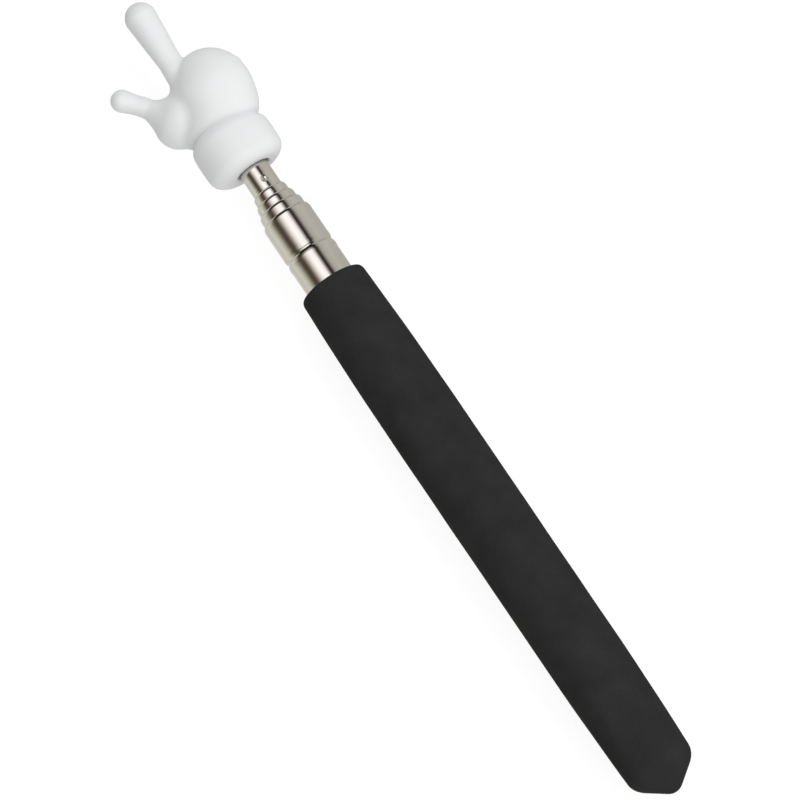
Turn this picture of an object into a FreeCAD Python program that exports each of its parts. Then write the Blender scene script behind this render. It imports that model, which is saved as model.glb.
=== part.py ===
import FreeCAD
import Part
import Sketcher
import math
import os

# Telescoping hand pointer: a foam-gripped chrome tube with four sliding sections that nest in it,
# and a moulded pointing hand on the end of the smallest one.
#
# Frame: X runs along the tube, towards the pointing finger. Z is up, on the back of the hand, and the
# thumb is on the +Y side. The origin is on the tube's axis, at the middle of the grip.
# All sizes are in millimetres.

SECTIONS = 4

SIZES = [
    # The grip, a closed foam sleeve
    ("bare_tube", 18.7, "length of the outer tube in front of the foam"),
    ("grip_front_wall", 2.2, "foam thickness at the rounded front corner"),
    ("grip_corner", 2.0, "rounding of the front corner"),
    ("grip_waist", 30.0, "half the length of the straight middle stretch"),
    ("grip_wall", 2.6, "foam thickness on the straight middle stretch"),
    ("grip_rear_wall", 1.7, "foam thickness where the end cone starts"),
    ("grip_end_wall", 2.4, "foam between the end plug and the start of the end cone"),
    ("grip_cone", 5.6, "length of the end cone"),
    ("grip_tip_radius", 1.2, "radius of the flat on the end of the cone"),
    # The outer tube and what its sections share
    ("tube_radius", 5.9, "outer radius of the outer tube"),
    ("tube_wall", 0.3, "wall of every tube"),
    ("tube_front", 87.8, "mouth of the outer tube, from the origin"),
    ("tube_rear", 60.0, "rear end of the outer tube, behind the origin"),
    ("tube_nose", 1.3, "length over which the outer tube's mouth turns in"),
    ("leaf_room", 0.3, "radial gap between a tube and the section in it"),
    ("running_gap", 0.05, "radial clearance of every sliding or turning fit"),
    ("lip_edge", 0.1, "thickness left at the edge of a turned-in mouth"),
    ("lip_land", 0.9, "length of the bore in a turned-in mouth"),
    ("lip_slope", 0.5, "length of the slope behind that bore"),
    # The rolled groove that stops the first section
    ("groove_from_mouth", 9.9, "middle of the rolled groove, behind the outer tube's mouth"),
    ("groove_half", 0.7, "half the width of the rolled groove"),
    ("groove_depth", 0.2, "depth of the rolled groove"),
    ("groove_bead", 0.1, "height of the bead behind the groove"),
    ("groove_bead_length", 1.2, "length of the bead behind the groove"),
    # The sections
    ("ring_lead", 0.3, "how much further than the others the first section stands out when closed"),
    ("ring_pitch", 2.2, "how far each closed section stands out of the one before"),
    ("section_nose", 1.0, "length over which a section's mouth turns in"),
    ("tip_reach", 9.8, "how far the last section stands out of the one around it when closed"),
    # Plug, feet and friction leaves at the rear ends
    ("plug_flange", 2.0, "thickness of the end plug's flange"),
    ("plug_depth", 6.0, "length of the end plug inside the outer tube"),
    ("plug_dish", 3.0, "radius of the hollow in the end plug"),
    ("plug_dish_depth", 5.0, "depth of the hollow in the end plug"),
    ("foot_spigot", 2.0, "length of a foot inside its section"),
    ("foot_flange", 0.8, "thickness of a foot's rear flange"),
    ("foot_vent", 0.8, "radius of the air hole through a foot"),
    ("leaf_length", 5.0, "length of a friction leaf"),
    ("leaf_wall", 0.9, "thickness of a friction leaf"),
    ("leaf_split", 0.9, "gap between the two leaves of a pair"),
    ("end_gap", 0.1, "clearance at each end of a leaf and behind each foot"),
    # The crimp that holds the stem of the hand
    ("crimp_from_tip", 7.6, "middle of the crimp dimple, behind the last section's front end"),
    ("crimp_turn", 15.0, "angle of the dimple away from straight up, in degrees"),
    ("crimp_ball", 1.0, "radius of the punch that makes the dimple"),
    ("crimp_depth", 0.4, "depth of the dimple"),
    # The stem of the hand
    ("stem_inside", 9.9, "length of the stem inside the last section"),
    ("stem_flange", 1.0, "thickness of the stem's flange"),
    ("stem_groove_half", 1.5, "half the width of the groove that takes the dimple"),
    ("stem_head", 2.5, "radius of the stem's head in the hand"),
    ("stem_barb", 0.4, "height of the barbs on the head"),
    ("stem_head_length", 10.5, "length of the head"),
    # The hand
    ("cuff_overlap", 3.8, "how far the last section reaches into the cuff"),
    ("cuff_length", 11.5, "length of the cuff up to the wrist crease"),
    ("cuff_rim", 2.2, "rounding of the cuff's rims"),
    ("cuff_half_width", 9.4, "half the width of the cuff"),
    ("cuff_half_depth", 8.3, "half the depth of the cuff"),
    ("cuff_offset", 0.5, "how far the cuff's middle lies towards the thumb"),
    ("cuff_gap", 0.5, "room between the last section and the hollow in the cuff"),
    ("wrist_step", 1.0, "from the cuff's front edge to the middle of the wrist"),
    ("palm_length", 11.0, "from the wrist to the middle of the knuckles"),
    ("palm_side", 4.9, "how far each side of the palm lies from its middle"),
    ("palm_half_depth", 7.4, "half the depth of the back of the hand"),
    ("finger_radius", 2.75, "radius of the pointing finger at its root"),
    ("finger_tip_radius", 3.6, "radius of the pointing finger's tip"),
    ("finger_reach", 19.5, "from the middle of the knuckles to the middle of the fingertip"),
    ("thumb_root_radius", 3.4, "radius of the thumb where it leaves the palm"),
    ("thumb_radius", 2.65, "radius of the thumb's tip"),
    ("thumb_reach", 6.6, "from the middle of the knuckles forward to the middle of the thumb's tip"),
    ("thumb_spread", 15.0, "how far the middle of the thumb's tip lies to the side of the knuckles"),
    ("curl_radius", 2.9, "radius of the folded fingers"),
    ("curl_length", 9.0, "length of the folded fingers under the palm"),
    ("curl_drop", 5.9, "how far the folded fingers' bends lie below the middle of the knuckles"),
]


class Size:
    """A length that carries both its number and the sheet expression it comes from."""

    def __init__(self, value, text):
        self.value = float(value)
        self.text = text

    @staticmethod
    def of(other):
        return other if isinstance(other, Size) else Size(other, repr(float(other)))

    def __add__(self, other):
        other = Size.of(other)
        return Size(self.value + other.value, f"({self.text} + {other.text})")

    def __sub__(self, other):
        other = Size.of(other)
        return Size(self.value - other.value, f"({self.text} - {other.text})")

    def __mul__(self, other):
        other = Size.of(other)
        return Size(self.value * other.value, f"({self.text} * {other.text})")

    def __rsub__(self, other):
        return Size.of(other) - self

    def __neg__(self):
        return Size(-self.value, f"(0 - {self.text})")

    __radd__ = __add__
    __rmul__ = __mul__


document = FreeCAD.newDocument("hand_pointer")
sheet = document.addObject("Spreadsheet::Sheet", "Sizes")
size = {}
for row, (alias, number, note) in enumerate(SIZES, start=1):
    sheet.set(f"A{row}", alias)
    sheet.set(f"B{row}", str(number))
    sheet.set(f"C{row}", note)
    sheet.setAlias(f"B{row}", alias)
    size[alias] = Size(number, f"Sizes.{alias}")
document.recompute()

parts = []


def keep(piece, label):
    """Label a finished sub-part and put it on the list of what is written."""
    piece.Label = label
    parts.append(piece)
    return piece


def origin_plane(body, role):
    return next(feature for feature in body.Origin.OriginFeatures if feature.Role == role)


def outline(body, name, points):
    """Add a closed sketch on the body's XY plane, with every corner bound to the sheet.

    A point is (x, y), or (x, y, radius) where an arc of that radius leads to it from the point before.
    A positive radius bulges to the left of the way the outline runs, a negative one to the right.
    """
    sketch = body.newObject("Sketcher::SketchObject", name)
    sketch.AttachmentSupport = [(origin_plane(body, "XY_Plane"), "")]
    sketch.MapMode = "FlatFace"
    corners = [FreeCAD.Vector(Size.of(p[0]).value, Size.of(p[1]).value, 0) for p in points]
    count = len(points)
    for index in range(count):
        start = corners[index]
        end = corners[(index + 1) % count]
        point = points[(index + 1) % count]
        if len(point) == 3:
            sketch.addGeometry(arc_between(start, end, Size.of(point[2]).value))
        else:
            sketch.addGeometry(Part.LineSegment(start, end))
    for index in range(count):
        before = (index - 1) % count
        here_end = end_of(sketch, before, corners[index])
        here_start = end_of(sketch, index, corners[index])
        sketch.addConstraint(Sketcher.Constraint("Coincident", before, here_end, index, here_start))
        for kind, coordinate in (("DistanceX", points[index][0]), ("DistanceY", points[index][1])):
            bind(sketch, Sketcher.Constraint(kind, -1, 1, index, here_start, Size.of(coordinate).value),
                 Size.of(coordinate))
        if len(points[index]) == 3:
            radius = Size.of(points[index][2])
            radius = radius if radius.value > 0 else -radius
            bind(sketch, Sketcher.Constraint("Radius", before, radius.value), radius)
    return sketch


def bind(sketch, constraint, length):
    index = sketch.addConstraint(constraint)
    sketch.setExpression(f"Constraints[{index}]", length.text)


def end_of(sketch, index, corner):
    """Say which end of an edge, 1 or 2, is at a corner: an arc always runs anticlockwise."""
    start = sketch.Geometry[index].StartPoint
    return 1 if (start - corner).Length < 1e-6 else 2


def arc_between(start, end, radius):
    """Make the shorter arc of a circle from start to end, on the side the radius's sign gives."""
    chord = end - start
    middle = (start + end) * 0.5
    left = FreeCAD.Vector(-chord.y, chord.x, 0).normalize()
    rise = math.sqrt(max(radius * radius - chord.Length * chord.Length / 4, 0))
    side = 1 if radius > 0 else -1
    centre = middle - left * rise * side
    top = centre + left * abs(radius) * side
    return Part.Arc(start, top, end)


def turned(label, points):
    """Make a body turned about the X axis from its half outline."""
    body = document.addObject("PartDesign::Body", label)
    sketch = outline(body, f"{label}_outline", points)
    turn = body.newObject("PartDesign::Revolution", f"{label}_turned")
    turn.Profile = sketch
    turn.ReferenceAxis = (sketch, ["H_Axis"])
    turn.Angle = 360
    sketch.Visibility = False
    return body


# Radii of the tubes: each section is smaller by a wall and the room for its friction leaves
step = size["tube_wall"] + size["leaf_room"]
tube_radii = [size["tube_radius"] - step * index for index in range(SECTIONS + 1)]
bores = [radius - size["tube_wall"] for radius in tube_radii]
first_ring = size["tube_front"] + size["ring_lead"]
mouths = [size["tube_front"]] + [first_ring + size["ring_pitch"] * index for index in range(1, SECTIONS)]
tip_front = mouths[-1] + size["tip_reach"]
mouths.append(tip_front)
crimp_place = tip_front - size["crimp_from_tip"]
cuff_rear = tip_front - size["cuff_overlap"]

# Rear ends: each section's foot rests on the foot of the section around it, the first on the end plug
plug_face = size["plug_depth"] - size["tube_rear"]
journal = size["leaf_length"] + size["end_gap"] * 2
foot_rears = [plug_face + size["end_gap"]]
for index in range(1, SECTIONS):
    tube_end_before = foot_rears[-1] + size["foot_flange"] + journal
    foot_rears.append(tube_end_before + size["foot_spigot"] + size["end_gap"])
section_rears = [rear + size["foot_flange"] + journal for rear in foot_rears]


def grip_sleeve():
    """The closed foam sleeve: rounded front, straight middle, slight taper and a blunt cone behind."""
    tube = size["tube_radius"]
    front = size["tube_front"] - size["bare_tube"]
    inside_end = -(size["tube_rear"] + size["plug_flange"])
    cone_start = inside_end - size["grip_end_wall"]
    cone_end = cone_start - size["grip_cone"]
    return turned("grip_sleeve", [
        (cone_end, 0),
        (inside_end, 0),
        (inside_end, tube),
        (front, tube),
        (front, tube + size["grip_front_wall"] - size["grip_corner"]),
        (front - size["grip_corner"], tube + size["grip_front_wall"], -size["grip_corner"]),
        (size["grip_waist"], tube + size["grip_wall"]),
        (-size["grip_waist"], tube + size["grip_wall"]),
        (cone_start, tube + size["grip_rear_wall"]),
        (cone_end, size["grip_tip_radius"]),
    ])


def lip(index, nose, points_before):
    """Close a tube's outline with its turned-in mouth, which guides the section inside it."""
    front = mouths[index]
    guide = tube_radii[index + 1] + size["running_gap"]
    return points_before + [
        (front - nose, tube_radii[index]),
        (front, guide + size["lip_edge"]),
        (front, guide),
        (front - size["lip_land"], guide),
        (front - size["lip_land"] - size["lip_slope"], bores[index]),
    ]


def outer_tube():
    """The fixed tube, with a rolled groove whose inner ridge stops the first section."""
    rear = -size["tube_rear"]
    place = size["tube_front"] - size["groove_from_mouth"]
    half = size["groove_half"]
    outer = tube_radii[0]
    inner = bores[0]
    bead_rear = place - half - size["groove_bead_length"]
    ridge = tube_radii[1] + size["running_gap"]
    outside = [
        (rear, inner),
        (rear, outer),
        (bead_rear, outer),
        (bead_rear + size["groove_bead_length"] * 0.5, outer + size["groove_bead"]),
        (place - half, outer),
        (place, outer - size["groove_depth"]),
        (place + half, outer),
    ]
    inside = [
        (place + half, inner),
        (place, ridge),
        (place - half, inner),
    ]
    return turned("outer_tube", lip(0, size["tube_nose"], outside) + inside)


def sliding_section(number):
    """A section whose mouth is turned in around the next one."""
    rear = section_rears[number - 1]
    outside = [(rear, bores[number]), (rear, tube_radii[number])]
    return turned(f"section_{number}", lip(number, size["section_nose"], outside))


def tip_section():
    """The last section: a plain tube, with a dimple punched in over the groove of the hand's stem."""
    rear = section_rears[-1]
    tube = turned("tip_tube", [
        (rear, bores[-1]),
        (rear, tube_radii[-1]),
        (tip_front, tube_radii[-1]),
        (tip_front, bores[-1]),
    ])
    lift = tube_radii[-1] - size["crimp_depth"] + size["crimp_ball"]
    bulge = punch("crimp_bulge", lift, size["crimp_ball"] + size["tube_wall"])
    inside = document.addObject("Part::Cylinder", "crimp_inside")
    inside.Placement.Rotation = FreeCAD.Rotation(FreeCAD.Vector(0, 1, 0), 90)
    inside.setExpression("Radius", (tube_radii[-1] - size["tube_wall"] * 0.5).text)
    inside.setExpression("Height", (size["crimp_ball"] * 6).text)
    inside.setExpression("Placement.Base.x", (crimp_place - size["crimp_ball"] * 3).text)
    dent_wall = document.addObject("Part::Common", "crimp_wall")
    dent_wall.Base = bulge
    dent_wall.Tool = inside
    joined = document.addObject("Part::Fuse", "tube_with_crimp")
    joined.Base = tube
    joined.Tool = dent_wall
    section = document.addObject("Part::Cut", f"section_{SECTIONS}")
    section.Base = joined
    section.Tool = punch("crimp_punch", lift, size["crimp_ball"])
    return section


def punch(name, lift, radius):
    """A ball on the tube's skin, where the dimple is, turned a little away from straight up."""
    ball = document.addObject("Part::Sphere", name)
    turn = size["crimp_turn"]
    ball.setExpression("Radius", radius.text)
    ball.setExpression("Placement.Base.x", crimp_place.text)
    ball.setExpression("Placement.Base.y", f"0 - {lift.text} * sin({turn.text} * 1 deg)")
    ball.setExpression("Placement.Base.z", f"{lift.text} * cos({turn.text} * 1 deg)")
    return ball


def end_plug():
    """The moulded plug that closes the outer tube's rear end inside the grip."""
    rear = -size["tube_rear"]
    back = rear - size["plug_flange"]
    dish_floor = back + size["plug_dish_depth"]
    return turned("end_plug", [
        (back, size["plug_dish"]),
        (back, tube_radii[0]),
        (rear, tube_radii[0]),
        (rear, bores[0]),
        (plug_face, bores[0]),
        (plug_face, 0),
        (dish_floor, 0),
        (dish_floor, size["plug_dish"]),
    ])


def foot(number):
    """The turned foot pressed in a section's rear end: spigot, journal for the leaves and a flange."""
    back = foot_rears[number - 1]
    rear = section_rears[number - 1]
    stop_radius = bores[number - 1] - size["running_gap"]
    journal_radius = stop_radius - size["leaf_wall"] - size["running_gap"]
    return turned(f"foot_{number}", [
        (back, size["foot_vent"]),
        (back, stop_radius),
        (back + size["foot_flange"], stop_radius),
        (back + size["foot_flange"], journal_radius),
        (rear, journal_radius),
        (rear, bores[number]),
        (rear + size["foot_spigot"], bores[number]),
        (rear + size["foot_spigot"], size["foot_vent"]),
    ])


def friction_leaf(number, side):
    """Half of the springy pair round a foot's journal, which drags on the bore of the tube around it."""
    outside = bores[number - 1] - size["running_gap"]
    start = foot_rears[number - 1] + size["foot_flange"] + size["end_gap"]
    label = f"friction_leaf_{number}{side}"
    shell = turned(f"{label}_ring", [
        (start, outside - size["leaf_wall"]),
        (start, outside),
        (start + size["leaf_length"], outside),
        (start + size["leaf_length"], outside - size["leaf_wall"]),
    ])
    half = document.addObject("Part::Box", f"{label}_half")
    half.setExpression("Length", (size["leaf_length"] + 2).text)
    half.setExpression("Width", (outside + 1).text)
    half.setExpression("Height", (outside * 2 + 2).text)
    half.setExpression("Placement.Base.x", (start - 1).text)
    edge = size["leaf_split"] * 0.5 if side == "a" else -(outside + 1 + size["leaf_split"] * 0.5)
    half.setExpression("Placement.Base.y", edge.text)
    half.setExpression("Placement.Base.z", (-(outside + 1)).text)
    leaf = document.addObject("Part::Common", label)
    leaf.Base = shell
    leaf.Tool = half
    return leaf


def stem_points():
    """Half outline of the hand's stem: a grooved shank in the tube, a flange and a barbed head."""
    shank = bores[-1]
    head_start = tip_front + size["stem_flange"]
    head_end = head_start + size["stem_head_length"]
    groove = shank - size["crimp_depth"] - size["running_gap"]
    barb = size["stem_head"] + size["stem_barb"]
    rear = tip_front - size["stem_inside"]
    half = size["stem_groove_half"]
    third = size["stem_head_length"] * (1 / 3)
    return [
        (rear, 0),
        (rear, shank),
        (crimp_place - half, shank),
        (crimp_place - half, groove),
        (crimp_place + half, groove),
        (crimp_place + half, shank),
        (tip_front, shank),
        (tip_front, tube_radii[-1]),
        (head_start, tube_radii[-1]),
        (head_start, size["stem_head"]),
        (head_start + third, size["stem_head"]),
        (head_start + third, barb),
        (head_start + third * 2, size["stem_head"]),
        (head_start + third * 2, barb),
        (head_end, size["stem_head"]),
        (head_end, 0),
    ]


def number_of(alias):
    """Read a size's number from the sheet, for shapes that no primitive or sketch can hold."""
    return float(sheet.get(alias))


def capsule(start, start_radius, end, end_radius):
    """A round-ended segment between two points, turned in one piece from its half outline."""
    length = (end - start).Length
    lean = (start_radius - end_radius) / length
    rise = math.sqrt(1 - lean * lean)
    half = 1 / math.sqrt(2)
    first = FreeCAD.Vector(-start_radius, 0, 0)
    first_touch = FreeCAD.Vector(start_radius * lean, start_radius * rise, 0)
    last_touch = FreeCAD.Vector(length + end_radius * lean, end_radius * rise, 0)
    last = FreeCAD.Vector(length + end_radius, 0, 0)
    first_middle = FreeCAD.Vector(-start_radius * half, start_radius * half, 0)
    last_middle = FreeCAD.Vector(length + end_radius * half, end_radius * half, 0)
    edges = [
        Part.Arc(first, first_middle, first_touch).toShape(),
        Part.LineSegment(first_touch, last_touch).toShape(),
        Part.Arc(last_touch, last_middle, last).toShape(),
        Part.LineSegment(last, first).toShape(),
    ]
    profile = Part.Face(Part.Wire(edges))
    segment = profile.revolve(FreeCAD.Vector(), FreeCAD.Vector(1, 0, 0), 360)
    turn = FreeCAD.Rotation(FreeCAD.Vector(1, 0, 0), end - start)
    segment.Placement = FreeCAD.Placement(start, turn)
    return segment


def cuff_shape():
    """The thick oval band of the cuff, with both rims rounded."""
    oval = Part.Ellipse(FreeCAD.Vector(), number_of("cuff_half_width"), number_of("cuff_half_depth"))
    face = Part.Face(Part.Wire([oval.toShape()]))
    face.rotate(FreeCAD.Vector(), FreeCAD.Vector(0, 0, 1), 90)
    face.rotate(FreeCAD.Vector(), FreeCAD.Vector(0, 1, 0), 90)
    face.translate(FreeCAD.Vector(cuff_rear.value, number_of("cuff_offset"), 0))
    band = face.extrude(FreeCAD.Vector(number_of("cuff_length"), 0, 0))
    rims = [edge for edge in band.Edges if edge.isClosed() and len(edge.Vertexes) == 1]
    return band.makeFillet(number_of("cuff_rim"), rims)


def palm_segments(wrist, knuckles):
    """The back of the hand: a middle, the side of the folded fingers and the side of the thumb."""
    point = FreeCAD.Vector
    depth = number_of("palm_half_depth")
    side = number_of("palm_side")
    middle_root = wrist + point(0, 0.8, -0.4)
    folded_root = wrist + point(0, -1.5, -0.4)
    folded_knuckles = knuckles + point(-1.5, -side, -0.1)
    thumb_side_root = wrist + point(1.0, 2.0, -0.9)
    thumb_side_end = knuckles + point(-4.3, side + 1.6, -1.2)
    return [
        capsule(middle_root, depth + 0.1, knuckles, depth),
        capsule(folded_root, depth + 0.05, folded_knuckles, depth - 0.15),
        capsule(thumb_side_root, depth - 0.4, thumb_side_end, depth - 0.8),
    ]


def finger_and_thumb(knuckles):
    """The pointing finger, straight ahead, and the thumb, spread out to its side."""
    point = FreeCAD.Vector
    finger_line = knuckles + point(0, 1.4, 1.2)
    finger_root = finger_line - point(3.0, 0, 0)
    finger_tip = finger_line + point(number_of("finger_reach"), 0, 0)
    thumb_root = knuckles + point(-4.0, 6.7, -1.2)
    thumb_tip = knuckles + point(number_of("thumb_reach"), number_of("thumb_spread"), -0.2)
    return [
        capsule(finger_root, number_of("finger_radius"), finger_tip, number_of("finger_tip_radius")),
        capsule(thumb_root, number_of("thumb_root_radius"), thumb_tip, number_of("thumb_radius")),
    ]


def folded_fingers(knuckles):
    """Three fingers that bend down at the knuckles and back under the palm."""
    point = FreeCAD.Vector
    curl = number_of("curl_radius")
    drop = number_of("curl_drop")
    back = number_of("curl_length")
    segments = []
    for across, ahead in ((-2.8, 2.3), (-6.4, 1.0), (-9.3, -0.4)):
        knuckle = knuckles + point(ahead, across, 1.3)
        bend = knuckles + point(ahead + 0.5, across, -drop)
        under_root = bend + point(-0.4, 0, 0.2)
        under_tip = bend + point(-back, 0.3, 0.3)
        segments.append(capsule(knuckle, curl - 0.1, bend, curl))
        segments.append(capsule(under_root, curl - 0.7, under_tip, curl - 0.3))
    return segments


def hand_shape(stem):
    """The moulded hand in one piece, with the cuff's hollow and the stem's socket cut out."""
    wrist_place = cuff_rear.value + number_of("cuff_length") + number_of("wrist_step")
    wrist = FreeCAD.Vector(wrist_place, 0.6, 0.4)
    knuckles = wrist + FreeCAD.Vector(number_of("palm_length"), 0, 0)
    pieces = palm_segments(wrist, knuckles) + finger_and_thumb(knuckles) + folded_fingers(knuckles)
    solid = cuff_shape().multiFuse(pieces)
    hollow_rear = FreeCAD.Vector(cuff_rear.value - 1, 0, 0)
    hollow_length = number_of("cuff_overlap") + number_of("stem_flange") + 1
    hollow_radius = tube_radii[-1].value + number_of("cuff_gap")
    hollow = Part.makeCylinder(hollow_radius, hollow_length, hollow_rear, FreeCAD.Vector(1, 0, 0))
    return solid.cut(hollow).cut(stem)


def hand(stem):
    feature = document.addObject("Part::Feature", "hand")
    feature.Shape = hand_shape(stem.Shape)
    return feature


def check(piece):
    """Stop if an object failed to compute, or if a sub-part isn't one valid solid."""
    if {"Invalid", "Error"} & set(piece.State):
        raise RuntimeError(f"{piece.Label} failed: {piece.State}")
    if piece in parts and (not piece.Shape.isValid() or len(piece.Shape.Solids) != 1):
        raise RuntimeError(f"{piece.Label} isn't one valid solid")


keep(grip_sleeve(), "grip_sleeve")
keep(outer_tube(), "outer_tube")
keep(end_plug(), "end_plug")
for number in range(1, SECTIONS):
    keep(sliding_section(number), f"section_{number}")
keep(tip_section(), f"section_{SECTIONS}")
for number in range(1, SECTIONS + 1):
    keep(foot(number), f"foot_{number}")
    for side in ("a", "b"):
        keep(friction_leaf(number, side), f"friction_leaf_{number}{side}")
stem = keep(turned("hand_stem", stem_points()), "hand_stem")
document.recompute()
keep(hand(stem), "hand")
document.recompute()

for item in document.Objects:
    check(item)

os.makedirs("parts", exist_ok=True)
for piece in parts:
    piece.Shape.exportStep(f"parts/{piece.Label}.step")
    box = piece.Shape.BoundBox
    print(f"{piece.Label}: {len(piece.Shape.Solids)} solid, {piece.Shape.Volume:.1f} mm3, "
          f"X {box.XMin:.2f} to {box.XMax:.2f}, Y {box.YMin:.2f} to {box.YMax:.2f}, "
          f"Z {box.ZMin:.2f} to {box.ZMax:.2f}")
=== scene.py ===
"""Looks of a telescoping hand pointer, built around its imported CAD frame.

The chrome tubes, the foam grip and the moulded hand are remade here as fine meshes that stand for
their CAD nodes. The plug, feet, friction leaves and stem keep their CAD meshes and get finishes.
Shapes are worked out in millimetres in the CAD frame and turned into metres when a mesh is made.
"""

from __future__ import annotations

import logging
import math
from collections.abc import Callable
from dataclasses import dataclass, field
from enum import Enum

import bpy
import numpy as np
from mathutils import Matrix, Vector

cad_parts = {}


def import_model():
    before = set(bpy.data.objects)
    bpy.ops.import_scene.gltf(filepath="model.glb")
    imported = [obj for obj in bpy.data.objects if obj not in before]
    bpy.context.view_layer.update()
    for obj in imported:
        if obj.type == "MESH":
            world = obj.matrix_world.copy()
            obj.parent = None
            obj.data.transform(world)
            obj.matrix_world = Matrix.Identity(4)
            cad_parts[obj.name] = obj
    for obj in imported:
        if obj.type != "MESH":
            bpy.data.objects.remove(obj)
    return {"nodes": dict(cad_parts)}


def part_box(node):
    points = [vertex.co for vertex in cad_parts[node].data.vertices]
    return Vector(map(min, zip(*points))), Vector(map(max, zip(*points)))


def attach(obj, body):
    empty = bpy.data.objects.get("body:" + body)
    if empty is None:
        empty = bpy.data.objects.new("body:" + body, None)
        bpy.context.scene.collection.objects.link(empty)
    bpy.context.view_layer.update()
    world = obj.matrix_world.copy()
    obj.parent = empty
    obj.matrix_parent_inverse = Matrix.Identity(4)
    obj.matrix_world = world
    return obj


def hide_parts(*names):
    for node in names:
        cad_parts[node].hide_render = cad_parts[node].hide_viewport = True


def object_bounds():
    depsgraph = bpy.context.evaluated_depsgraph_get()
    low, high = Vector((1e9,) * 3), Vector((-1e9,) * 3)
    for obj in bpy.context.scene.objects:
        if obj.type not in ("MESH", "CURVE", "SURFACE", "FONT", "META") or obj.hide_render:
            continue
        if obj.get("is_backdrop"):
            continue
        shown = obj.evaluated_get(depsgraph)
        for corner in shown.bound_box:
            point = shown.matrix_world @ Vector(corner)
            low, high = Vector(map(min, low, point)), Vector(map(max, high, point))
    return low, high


LOG = logging.getLogger("pointer")
MM = 0.001
FLOOR_GAP = 0.0001
ON_AXIS = 1e-6

Outline = list[tuple[float, float]]
Colour = tuple[float, float, float]
Place = tuple[float, float, float]
Field = Callable[[np.ndarray], np.ndarray]
Dent = Callable[[np.ndarray, np.ndarray], np.ndarray]


# Mesh making


def make_mesh(name: str, points: np.ndarray, faces: list, crease: float = 30.0) -> bpy.types.Object:
    """Make a smooth-shaded mesh object from points in millimetres.

    Args:
        name: The piece's name.
        points: Vertex places in the CAD frame, in millimetres.
        faces: Vertex numbers of each face.
        crease: Edges sharper than this angle, in degrees, stay sharp.

    Returns:
        The new object, linked to the scene.
    """
    mesh = bpy.data.meshes.new(name)
    mesh.from_pydata((points * MM).tolist(), [], faces)
    mesh.validate()
    mesh.shade_smooth()
    mesh.set_sharp_from_angle(angle=math.radians(crease))
    thing = bpy.data.objects.new(name, mesh)
    bpy.context.scene.collection.objects.link(thing)
    return thing


def rounded(corners: list[tuple[float, ...]], steps: int) -> Outline:
    """Round the corners of an outline in the (x, r) half plane.

    Args:
        corners: (x, r) for a sharp corner, or (x, r, reach) for one rounded over that reach.
        steps: How many short edges make one rounded corner.

    Returns:
        The outline's points, with a smooth curve at each rounded corner.
    """
    outline: Outline = []
    count = len(corners)
    for index, corner in enumerate(corners):
        here = np.array(corner[:2])
        if len(corner) == 2:
            outline.append(tuple(here))
            continue
        arms = []
        for other in (corners[index - 1], corners[(index + 1) % count]):
            arm = np.array(other[:2]) - here
            length = np.linalg.norm(arm)
            arms.append(here + arm / length * min(corner[2], length * 0.49))
        for share in np.linspace(0.0, 1.0, steps + 1):
            bend = arms[0] * (1 - share) ** 2 + here * 2 * share * (1 - share) + arms[1] * share**2
            outline.append(tuple(bend))
    return outline


def lathe(name: str, outline: Outline, turns: int = 160, dent: Dent | None = None) -> bpy.types.Object:
    """Turn a closed outline about the X axis into a closed mesh.

    Args:
        name: The piece's name.
        outline: Points (x, r) in order round the outline. A point with r of 0 is on the axis.
        turns: How many faces go round.
        dent: An optional function of (points, angles) that returns moved points.

    Returns:
        The new object.
    """
    angles = np.arange(turns) * 2 * math.pi / turns
    points: list[np.ndarray] = []
    rings: list[np.ndarray] = []
    start = 0
    for x, radius in outline:
        here = angles if radius > ON_AXIS else angles[:1]
        ring = np.stack([np.full(len(here), x), -radius * np.sin(here), radius * np.cos(here)], axis=1)
        if dent is not None and radius > ON_AXIS:
            ring = dent(ring, here)
        points.append(ring)
        rings.append(np.arange(start, start + len(here)))
        start += len(here)
    faces = []
    for index, ring in enumerate(rings):
        after = rings[(index + 1) % len(rings)]
        if len(ring) == 1 and len(after) == 1:
            continue
        for turn in range(turns):
            beside = (turn + 1) % turns
            if len(ring) == 1:
                faces.append((ring[0], after[beside], after[turn]))
            elif len(after) == 1:
                faces.append((ring[turn], ring[beside], after[0]))
            else:
                faces.append((ring[turn], ring[beside], after[beside], after[turn]))
    return make_mesh(name, np.concatenate(points), faces)


# Solid shapes as distance fields, for the moulded hand


@dataclass(frozen=True)
class RoundCone:
    """A round-ended segment that changes radius from one end to the other."""

    start: Place
    start_radius: float
    end: Place
    end_radius: float

    def distance(self, points: np.ndarray) -> np.ndarray:
        """Measure the signed distance to the segment's skin.

        Args:
            points: Places in the CAD frame, in millimetres.

        Returns:
            The distance of each point, negative inside.
        """
        first = np.array(self.start)
        along = np.array(self.end) - first
        share = np.clip((points - first) @ along / (along @ along), 0.0, 1.0)
        nearest = first + share[..., None] * along
        radius = self.start_radius + (self.end_radius - self.start_radius) * share
        return np.linalg.norm(points - nearest, axis=-1) - radius


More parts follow.
